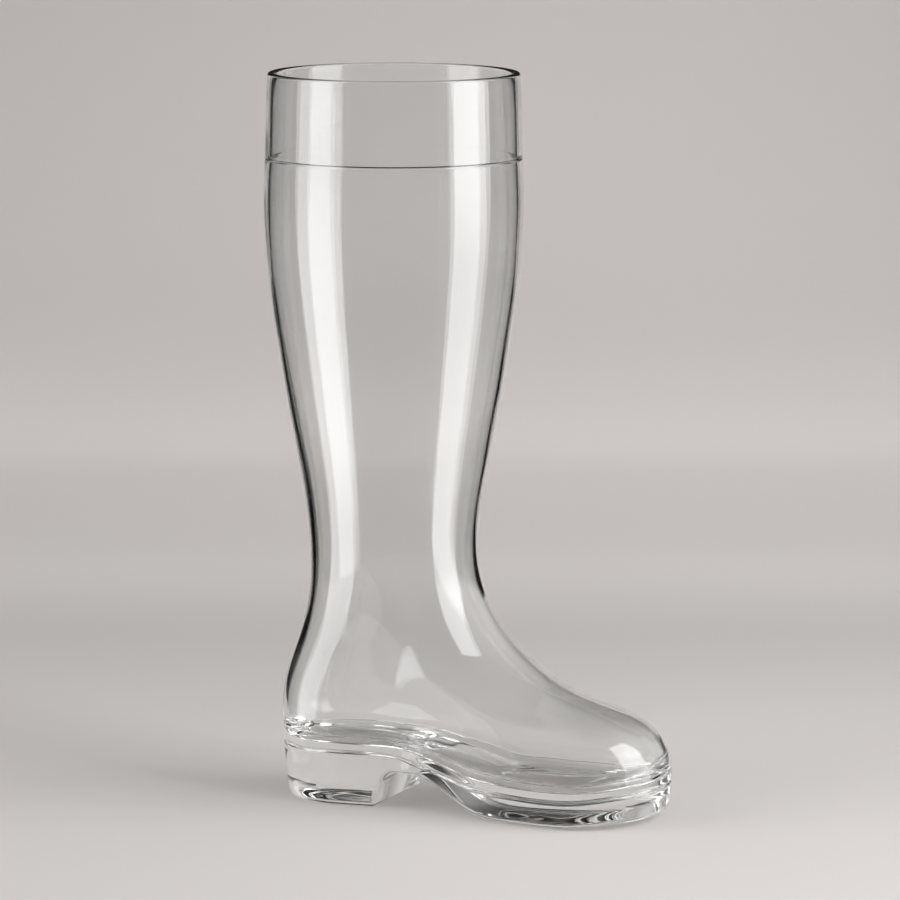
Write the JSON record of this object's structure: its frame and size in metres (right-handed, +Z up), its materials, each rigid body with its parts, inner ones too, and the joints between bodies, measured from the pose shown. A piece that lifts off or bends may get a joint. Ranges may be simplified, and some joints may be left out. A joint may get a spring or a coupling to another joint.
{
  "type": "boot-shaped beer glass",
  "caption": "Clear glass drinking boot with a cuffed mouth, a round swelling shaft, a hollow foot, and a solid arched sole on a block heel.",
  "frame": {"origin": "on the ground, under the centre of the boot's length and width", "axes": "+Z up through the shaft to the mouth, +X along the foot to the toe, +Y across the foot"},
  "size_m": [0.1936, 0.1188, 0.335],
  "materials": {
    "clear_glass": "clear, fire-polished"
  },
  "bodies": {
    "root": {"cuff": "clear_glass", "shaft": "clear_glass", "foot": "clear_glass", "sole": "clear_glass", "heel": "clear_glass"}
  },
  "joints": []
}
